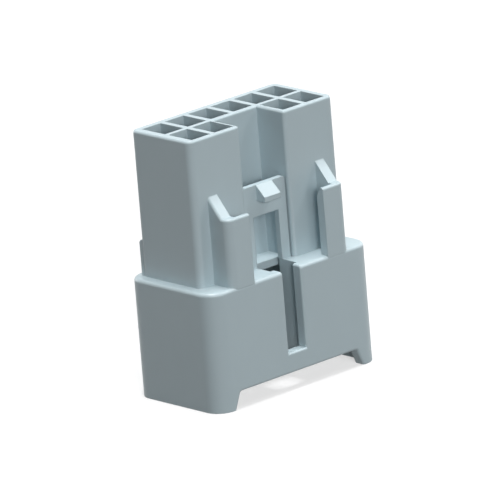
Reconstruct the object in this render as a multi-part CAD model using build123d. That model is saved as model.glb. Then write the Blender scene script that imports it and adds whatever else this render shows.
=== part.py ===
from build123d import *
import os

# Tab-side housing of a ten-way cable connector, moulded in one piece, in millimetres.
# X runs along the rows of cavities, -Y is the side with the latch, +Z is the side where
# the wires enter.  The origin is the middle of the rim that the housing stands on.

# Depth by which joined bodies run into each other and cutting bodies run past a surface
overlap = 0.3

# Cavities for the terminals: a full row at the back and two pairs in the front row
columns = 6
paired_columns = 2
column_pitch = 4.2
cavity_width = 3.4
cavity_depth = 4.55
cavity_height = 19.6

# Walls of the cavity block
end_wall = 1.1
front_wall = 0.6
back_wall = 1.15
row_wall = 0.7
recess_wall = 0.55
floor_rise = 0.8
recess_corner = 0.5
block_corner = 1.0
block_rim_round = 0.35

# Hood that takes the mating plug
hood_height = 16.7
hood_wall = 1.55
hood_roof = 1.05
hood_reach = 3.6
hood_corner = 2.6
hood_edge_round = 0.5
foot_height = 2.38
foot_width = 4.05
foot_slant = 1.0
foot_corner = 0.4
foot_edge_round = 0.34

# Way in the hood for the lock arm of the plug
channel_width = 4.9
slot_width = 3.25
slot_edge_round = 0.3
bridge_height = 5.2
guide_wall = 1.4
guide_rise = 1.2
pit_depth = 0.6

# Sprung tongue in the recess, with its catch and window
tongue_gap = 0.2
tongue_setback = 0.6
tongue_thickness = 0.85
tongue_height = 11.4
tongue_corner = 0.4
window_width = 4.65
window_height = 7.05
catch_width = 2.95
catch_reach = 1.63
catch_drop = 1.5
catch_nose = 0.7

# Rails that hold the housing in a bracket
rail_inset = 2.5
rail_width = 4.0
rail_height = 9.47
flange_thickness = 1.3
web_thickness = 1.75
gusset_rise = 2.7
rail_corner = 1.1
rail_edge_round = 0.35
lead_in_reach = 0.75
lead_in_height = 1.15

# Ribs at the ends of the back face
rib_inset = 0.25
rib_width = 1.5
rib_reach = 0.3
rib_height = 5.0
rib_slope = 0.35

# Passage for the blade in the floor of a cavity, and the lance that holds the terminal
blade_width = 2.7
blade_thickness = 1.1
lance_width = 1.8
lance_gap = 0.5
lance_thickness = 0.6
lance_tip = 0.5
lance_length = 6.8
lance_ramp = 2.0

# Sizes that follow from the ones above
block_width = (columns - 1) * column_pitch + cavity_width + 2 * end_wall
block_depth = front_wall + 2 * cavity_depth + row_wall + back_wall
hood_width = block_width + 2 * hood_wall
hood_depth = hood_reach + block_depth + hood_wall
roof_underside = hood_height - hood_roof
cavity_floor = hood_height + floor_rise
block_top = cavity_floor + cavity_height

hood_front = -hood_depth / 2
hood_back = hood_depth / 2
block_front = hood_front + hood_reach
block_back = hood_back - hood_wall
front_row = block_front + front_wall + cavity_depth / 2
back_row = front_row + cavity_depth + row_wall
recess_back = back_row - cavity_depth / 2 - recess_wall
recess_width = (columns - 2 * paired_columns + 1) * column_pitch - cavity_width - 2 * recess_wall

wall_inside = hood_front + hood_wall
tongue_front = block_front + tongue_setback
tongue_back = tongue_front + tongue_thickness
tongue_width = recess_width - 2 * tongue_gap
pit_back = tongue_back + pit_depth


def block_between(x_range, y_range, z_range):
    """A cuboid given by its lower and upper limits on each axis."""
    low = Vector(x_range[0], y_range[0], z_range[0])
    high = Vector(x_range[1], y_range[1], z_range[1])
    size = high - low
    return Pos(*((low + high) / 2)) * Box(size.X, size.Y, size.Z)


def side_profile(points, x_range):
    """A profile of (y, z) points, drawn out between two positions on X."""
    face = make_face(Polyline(*[(x_range[0], y, z) for y, z in points], close=True))
    return extrude(face, x_range[1] - x_range[0], dir=(1, 0, 0))


def front_profile(points, y_range):
    """A profile of (x, z) points, drawn out between two positions on Y."""
    face = make_face(Polyline(*[(x, y_range[0], z) for x, z in points], close=True))
    return extrude(face, y_range[1] - y_range[0], dir=(0, 1, 0))


def column_position(index):
    return (index - (columns - 1) / 2) * column_pitch


def front_slot():
    """Slot in the front wall of the hood, above the bridge."""
    return block_between(
        (-slot_width / 2, slot_width / 2),
        (hood_front - overlap, wall_inside + overlap),
        (bridge_height, hood_height + overlap),
    )


def foot_gap():
    """Space below the raised lower edge of the front wall, between the two feet."""
    half_high = hood_width / 2 - foot_width
    half_low = half_high + foot_slant
    points = [
        (-half_low, 0),
        (half_low, 0),
        (half_high, foot_height),
        (-half_high, foot_height),
    ]
    gap = front_profile(points, (hood_front - overlap, wall_inside + overlap))
    return fillet(gap.edges().filter_by(Axis.Y).group_by(Axis.Z)[-1], foot_corner)


def hood_shell():
    """Outer body of the hood, with the slot and the foot gap rounded at the front."""
    plan = RectangleRounded(hood_width, hood_depth, hood_corner)
    body = extrude(plan, hood_height)
    body = fillet(body.edges().group_by(Axis.Z)[-1], hood_edge_round)
    body -= front_slot()
    body -= foot_gap()
    front_edges = body.faces().sort_by(lambda face: face.center().Y)[0].edges()
    border = (foot_height + bridge_height) / 2
    around_slot = front_edges.filter_by(
        lambda edge: edge.center().Z > border and abs(edge.center().X) < slot_width
    )
    body = fillet(around_slot, slot_edge_round)
    return fillet(
        body.edges().filter_by(
            lambda edge: 0 < edge.center().Z < border
            and edge.center().Y < hood_front + foot_edge_round / 2
            and abs(edge.center().X) < hood_width / 2 - hood_corner
        ),
        foot_edge_round,
    )


def hood_hollow():
    """Space inside the hood, less the two guides beside the way of the lock arm."""
    inside_width = hood_width - 2 * hood_wall
    inside_depth = hood_depth - 2 * hood_wall
    plan = RectangleRounded(inside_width, inside_depth, hood_corner - hood_wall)
    hollow = extrude(plan, roof_underside)
    for side in (-1, 1):
        inner = side * channel_width / 2
        outer = inner + side * guide_wall
        hollow -= block_between(
            (min(inner, outer), max(inner, outer)),
            (wall_inside - overlap, tongue_back),
            (foot_height + guide_rise, roof_underside),
        )
    return hollow


def lock_way():
    """T-shaped opening in the roof of the hood: the channel and the pit behind the tongue."""
    height = (roof_underside - overlap, hood_height + overlap)
    channel = block_between(
        (-channel_width / 2, channel_width / 2),
        (wall_inside, pit_back),
        height,
    )
    pit = block_between(
        (-recess_width / 2, recess_width / 2),
        (tongue_back, pit_back),
        height,
    )
    return channel + pit


def cavity_block():
    """Block for the cavities, with the open recess in the middle of its front."""
    half = block_width / 2
    points = [
        (-half, block_back),
        (-half, block_front),
        (-recess_width / 2, block_front),
        (-recess_width / 2, recess_back),
        (recess_width / 2, recess_back),
        (recess_width / 2, block_front),
        (half, block_front),
        (half, block_back),
    ]
    plan = make_face(Polyline(*points, close=True))
    past_recess = recess_width / 2 + overlap
    ends = plan.vertices().filter_by(lambda corner: abs(corner.X) > past_recess)
    plan = fillet(ends, block_corner)
    recess_mouth = plan.vertices().filter_by(
        lambda corner: abs(corner.X) < past_recess and corner.Y < recess_back - overlap
    )
    plan = fillet(recess_mouth, recess_corner)
    body = extrude(Pos(0, 0, roof_underside) * plan, block_top - roof_underside)
    return fillet(body.edges().group_by(Axis.Z)[-1], block_rim_round)


def terminal_cavity(x, y, lance_side):
    """One cavity with the passage for its blade; the lance is left standing in it."""
    half_depth = cavity_depth / 2
    hollow = block_between(
        (x - cavity_width / 2, x + cavity_width / 2),
        (y - half_depth, y + half_depth),
        (cavity_floor, block_top + overlap),
    )
    root = half_depth - lance_gap
    neck = root - lance_thickness
    nose = neck - lance_tip
    profile = [
        (root, cavity_floor - lance_thickness),
        (neck, cavity_floor - lance_thickness),
        (neck, cavity_floor + lance_length - lance_ramp - lance_tip),
        (nose, cavity_floor + lance_length - lance_ramp),
        (neck, cavity_floor + lance_length),
        (root, cavity_floor + lance_length),
    ]
    points = [(y + lance_side * across, z) for across, z in profile]
    hollow -= side_profile(points, (x - lance_width / 2, x + lance_width / 2))
    hollow += block_between(
        (x - blade_width / 2, x + blade_width / 2),
        (y - blade_thickness / 2, y + blade_thickness / 2),
        (roof_underside - overlap, cavity_floor + overlap),
    )
    return hollow


def lock_tongue():
    """Sprung tongue on the roof of the hood: a frame around its window, and the catch."""
    half = tongue_width / 2
    top = hood_height + tongue_height
    tongue = block_between((-half, half), (tongue_front, tongue_back), (roof_underside, top))
    upper_corners = tongue.edges().filter_by(Axis.Y).group_by(Axis.Z)[-1]
    tongue = fillet(upper_corners, tongue_corner)
    through = (tongue_front - overlap, tongue_back + overlap)
    tongue -= block_between(
        (-channel_width / 2, channel_width / 2),
        through,
        (roof_underside - overlap, hood_height),
    )
    tongue -= block_between(
        (-window_width / 2, window_width / 2),
        through,
        (roof_underside - overlap, hood_height + window_height),
    )
    nose = tongue_front - catch_reach
    catch_bottom = top - catch_drop - catch_nose
    points = [
        (tongue_front + overlap, top),
        (tongue_front, top),
        (nose, top - catch_drop),
        (nose, catch_bottom),
        (tongue_front + overlap, catch_bottom),
    ]
    tongue += side_profile(points, (-catch_width / 2, catch_width / 2))
    return tongue


def bracket_rail():
    """Rail on the +X side: a flange on a web, with a gusset up the cavity block."""
    outer = block_width / 2 - rail_inset
    inner = outer - rail_width
    web_inner = outer - web_thickness
    flange_back = hood_front + flange_thickness
    flange_top = hood_height + rail_height
    root = block_front + overlap
    start = hood_height - overlap
    slope = gusset_rise / (block_front - flange_back)
    slope_end = root + overlap
    slope_top = flange_top + slope * (slope_end - flange_back)
    plan = make_face(
        Polyline(
            (inner, hood_front),
            (outer, hood_front),
            (outer, root),
            (web_inner, root),
            (web_inner, flange_back),
            (inner, flange_back),
            close=True,
        )
    )
    corner = plan.vertices().sort_by(lambda v: v.X - v.Y)[-1]
    plan = fillet(corner, rail_corner)
    rail = extrude(Pos(0, 0, start) * plan, slope_top - start)
    rail -= side_profile(
        [
            (hood_front - overlap, flange_top),
            (flange_back, flange_top),
            (slope_end, slope_top),
            (slope_end, slope_top + overlap),
            (hood_front - overlap, slope_top + overlap),
        ],
        (inner - overlap, outer + overlap),
    )
    outside = rail.edges().filter_by(
        lambda edge: edge.center().Z > flange_top - rail_edge_round
        and (
            edge.center().X > outer - rail_corner / 2
            or edge.center().Y < hood_front + rail_corner / 2
        )
        and edge.center().X > inner + rail_edge_round
        and edge.center().Y < root - rail_edge_round
    )
    rail = fillet(outside, rail_edge_round)
    rail -= side_profile(
        [
            (flange_back + lead_in_reach, flange_top - lead_in_height),
            (flange_back, flange_top - lead_in_height),
            (flange_back - lead_in_reach, flange_top),
            (flange_back - lead_in_reach, flange_top + lead_in_reach),
            (flange_back + lead_in_reach, flange_top + lead_in_reach),
        ],
        (inner - overlap, web_inner),
    )
    return rail


def end_rib(side):
    """Low rib on the back face of the cavity block, at one end."""
    outer = side * (block_width / 2 - rib_inset)
    inner = outer - side * rib_width
    top = hood_height + rib_height
    points = [
        (block_back - overlap, hood_height - overlap),
        (block_back + rib_reach, hood_height - overlap),
        (block_back + rib_reach, top - rib_slope),
        (block_back, top),
        (block_back - overlap, top),
    ]
    return side_profile(points, (min(inner, outer), max(inner, outer)))


def build_housing():
    body = hood_shell() + cavity_block()
    rail = bracket_rail()
    body += rail
    body += rail.mirror(Plane.YZ)
    body += end_rib(-1) + end_rib(1)
    body -= hood_hollow()
    body -= lock_way()
    for index in range(columns):
        x = column_position(index)
        body -= terminal_cavity(x, back_row, 1)
        if min(index, columns - 1 - index) < paired_columns:
            body -= terminal_cavity(x, front_row, -1)
    body += lock_tongue()
    return body


housing = build_housing()
os.makedirs("parts", exist_ok=True)
export_step(housing, "parts/housing.step")
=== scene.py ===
import math
import bpy
from mathutils import Matrix, Vector


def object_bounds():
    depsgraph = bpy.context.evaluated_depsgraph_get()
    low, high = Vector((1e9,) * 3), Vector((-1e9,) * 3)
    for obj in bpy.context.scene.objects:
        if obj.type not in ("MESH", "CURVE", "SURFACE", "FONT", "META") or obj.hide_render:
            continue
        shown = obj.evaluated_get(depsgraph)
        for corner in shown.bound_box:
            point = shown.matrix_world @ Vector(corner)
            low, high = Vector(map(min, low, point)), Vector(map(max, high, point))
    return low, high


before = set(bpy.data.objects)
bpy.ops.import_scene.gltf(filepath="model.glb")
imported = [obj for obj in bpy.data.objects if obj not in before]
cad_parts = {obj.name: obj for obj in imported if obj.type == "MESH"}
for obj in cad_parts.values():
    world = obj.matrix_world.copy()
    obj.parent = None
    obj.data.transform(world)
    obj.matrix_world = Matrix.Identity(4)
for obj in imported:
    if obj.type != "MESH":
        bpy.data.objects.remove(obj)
cad_low, cad_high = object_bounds()


# The housing
# One injection moulding in grey engineering plastic, as it leaves the mould: no
# terminals, seals or cable are fitted.  The mould's walls are lightly spark-eroded,
# so the skin is satin, and the melt's flow leaves a faint cloud in the colour.

class Value:
    """One output of a node.  Sums and products of it add Math nodes."""

    def __init__(self, nodes, socket):
        self.nodes = nodes
        self.socket = socket

    def join(self, operation, first, second):
        inputs = {0: first, 1: second}
        return self.nodes.add("ShaderNodeMath", {"operation": operation}, inputs)

    def __add__(self, other):
        return self.join("ADD", self, other)

    def __radd__(self, other):
        return self.join("ADD", other, self)

    def __mul__(self, other):
        return self.join("MULTIPLY", self, other)

    def __rmul__(self, other):
        return self.join("MULTIPLY", other, self)


class Nodes:
    """The nodes of a material or of the world, which it replaces."""

    def __init__(self, holder):
        holder.use_nodes = True
        self.tree = holder.node_tree
        self.tree.nodes.clear()

    def add(self, kind, settings=None, inputs=None, output=0):
        """Adds a node: its settings first, then the values or links of its sockets."""
        made = self.tree.nodes.new(kind)
        for name, setting in (settings or {}).items():
            setattr(made, name, setting)
        for name, value in (inputs or {}).items():
            if isinstance(value, Value):
                self.tree.links.new(value.socket, made.inputs[name])
            else:
                made.inputs[name].default_value = value
        return Value(self, made.outputs[output]) if made.outputs else None


millimetre = 0.001
plastic_pale = (0.472, 0.575, 0.614, 1.0)
plastic_deep = (0.445, 0.541, 0.578, 1.0)
plastic_ior = 1.53

# The clouds and the streaks of the flow
cloud_size = 5.0 * millimetre
cloud_detail = 3.0
cloud_share = 0.65
flow_size = 1.6 * millimetre
flow_detail = 4.0
flow_stretch = 0.22

# The gloss, the eroded grain and the softened edges
grain_size = 0.16 * millimetre
grain_detail = 2.0
grain_depth = 0.006 * millimetre
grain_strength = 0.5
skin_roughness = 0.33
grain_roughness = 0.10
flow_roughness = 0.08
edge_radius = 0.15 * millimetre
edge_samples = 8


def moulded_plastic():
    """Satin grey plastic with clouds and streaks, a fine grain and softened edges."""
    material = bpy.data.materials.new("moulded_grey_plastic")
    nodes = Nodes(material)
    place = nodes.add("ShaderNodeTexCoord", output="Object")
    along_flow = nodes.add(
        "ShaderNodeMapping",
        inputs={"Vector": place, "Scale": (1.0, 1.0, flow_stretch)},
    )
    cloud = nodes.add(
        "ShaderNodeTexNoise",
        inputs={"Vector": place, "Scale": 1 / cloud_size, "Detail": cloud_detail},
    )
    flow = nodes.add(
        "ShaderNodeTexNoise",
        inputs={"Vector": along_flow, "Scale": 1 / flow_size, "Detail": flow_detail},
    )
    grain = nodes.add(
        "ShaderNodeTexNoise",
        inputs={"Vector": place, "Scale": 1 / grain_size, "Detail": grain_detail},
    )
    mottle = cloud_share * cloud + (1 - cloud_share) * flow
    colour = nodes.add(
        "ShaderNodeMix",
        {"data_type": "RGBA"},
        {"Factor": mottle, "A": plastic_deep, "B": plastic_pale},
        output="Result",
    )
    rounded = nodes.add(
        "ShaderNodeBevel",
        {"samples": edge_samples},
        {"Radius": edge_radius},
    )
    normal = nodes.add(
        "ShaderNodeBump",
        inputs={
            "Height": grain,
            "Distance": grain_depth,
            "Strength": grain_strength,
            "Normal": rounded,
        },
    )
    roughness = skin_roughness + grain_roughness * grain + flow_roughness * flow
    shader = nodes.add(
        "ShaderNodeBsdfPrincipled",
        inputs={
            "Base Color": colour,
            "Roughness": roughness,
            "IOR": plastic_ior,
            "Normal": normal,
        },
    )
    nodes.add("ShaderNodeOutputMaterial", inputs={"Surface": shader})
    return material


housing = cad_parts["housing"]
housing.data.materials.clear()
housing.data.materials.append(moulded_plastic())


# The table that the housing stands on
# A white sheet, seen as plain white apart from the housing's soft shadow.  It glows
# dimly on the housing, so that some light comes up into the hood.  From below it can't
# be seen, so that the hood can be looked into.

floor_reach = 1.5
sheet_colour = (0.95, 0.95, 0.95, 1.0)
sheet_roughness = 0.9
table_light = 0.10
white = (1.0, 1.0, 1.0, 1.0)
shadow_share = 0.45


def shown_ray(nodes):
    """One for a ray that shows the background: a direct, reflected or refracted one."""
    kinds = ("Is Camera Ray", "Is Glossy Ray", "Is Transmission Ray")
    rays = [nodes.add("ShaderNodeLightPath", output=kind) for kind in kinds]
    return rays[0] + rays[1] + rays[2]


def white_sheet():
    """Pale paper that shows the shadow on top and can't be seen from below."""
    material = bpy.data.materials.new("white_sheet")
    nodes = Nodes(material)
    paper = nodes.add(
        "ShaderNodeBsdfDiffuse",
        inputs={"Color": sheet_colour, "Roughness": sheet_roughness},
    )
    dim = nodes.add("ShaderNodeEmission", inputs={"Color": white, "Strength": table_light})
    glow = nodes.add("ShaderNodeEmission", inputs={"Color": white})
    seen = nodes.add("ShaderNodeMixShader", inputs={0: shadow_share, 1: glow, 2: paper})
    top = nodes.add("ShaderNodeMixShader", inputs={0: shown_ray(nodes), 1: dim, 2: seen})
    clear = nodes.add("ShaderNodeBsdfTransparent")
    below = nodes.add("ShaderNodeNewGeometry", output="Backfacing")
    both = nodes.add("ShaderNodeMixShader", inputs={0: below, 1: top, 2: clear})
    nodes.add("ShaderNodeOutputMaterial", inputs={"Surface": both})
    return material


bpy.ops.mesh.primitive_plane_add(size=2 * floor_reach)
floor = bpy.context.object
floor.name = "floor"
floor.data.materials.append(white_sheet())


# Studio light
# A softbox overhead makes the upward faces palest.  One in front, a stronger one at the
# front left and one high on the right light the latch side, and two broad ones light
# the right end and the back.  The left end stays darkest.

middle = (cad_low + cad_high) / 2
lamp_distance = 1.20
overhead_side = 0.26
front_side = 0.30
broad_side = 0.60


def softbox(name, direction, side, power):
    """A square area light aimed at the middle: side in metres, power in watts."""
    lamp = bpy.data.lights.new(name, "AREA")
    lamp.shape = "SQUARE"
    lamp.size = side
    lamp.energy = power
    holder = bpy.data.objects.new(name, lamp)
    bpy.context.scene.collection.objects.link(holder)
    away = Vector(direction).normalized()
    holder.location = middle + away * lamp_distance
    holder.rotation_mode = "QUATERNION"
    holder.rotation_quaternion = away.to_track_quat("Z", "Y")


softbox("overhead_softbox", (0.0, 0.0, 1.0), side=overhead_side, power=14.2)
softbox("front_left_softbox", (-0.47, -0.79, 0.30), side=front_side, power=5.2)
softbox("front_softbox", (-0.10, -0.97, 0.20), side=front_side, power=1.8)
softbox("front_right_softbox", (0.64, -0.30, 0.71), side=front_side, power=3.8)
softbox("right_softbox", (1.0, 0.15, 0.15), side=broad_side, power=3.0)
softbox("rear_softbox", (-0.10, 1.0, 0.22), side=broad_side, power=4.0)

room_light = 0.02
world = bpy.data.worlds.new("white_room")
bpy.context.scene.world = world
room = Nodes(world)
brightness = room_light + (1 - room_light) * shown_ray(room)
air = room.add("ShaderNodeBackground", inputs={"Color": white, "Strength": brightness})
room.add("ShaderNodeOutputWorld", inputs={"Surface": air})


# Camera
# A long lens at the photograph's angle, from the front left and a little above.  It is
# rolled slightly, so that the housing leans as it does in the picture.

view_azimuth = math.radians(-41.99)
view_elevation = math.radians(16.52)
view_roll = math.radians(-4.675)
view_distance = 1.2102
view_lens = 648.0
view_sensor = 36.0
view_aim = Vector((0.0, -0.00037, 0.01802))

back = Vector((
    math.sin(view_azimuth) * math.cos(view_elevation),
    -math.cos(view_azimuth) * math.cos(view_elevation),
    math.sin(view_elevation),
))
level_right = Vector((math.cos(view_azimuth), math.sin(view_azimuth), 0.0))
level_up = back.cross(level_right)
right = level_right * math.cos(view_roll) + level_up * math.sin(view_roll)
up = level_up * math.cos(view_roll) - level_right * math.sin(view_roll)
turn = Matrix((right, up, back)).transposed()

lens = bpy.data.cameras.new("camera")
lens.lens = view_lens
lens.sensor_width = view_sensor
camera = bpy.data.objects.new("camera", lens)
bpy.context.scene.collection.objects.link(camera)
camera.matrix_world = Matrix.Translation(view_aim + back * view_distance) @ turn.to_4x4()
bpy.context.scene.camera = camera
bpy.context.scene.view_settings.view_transform = "Standard"
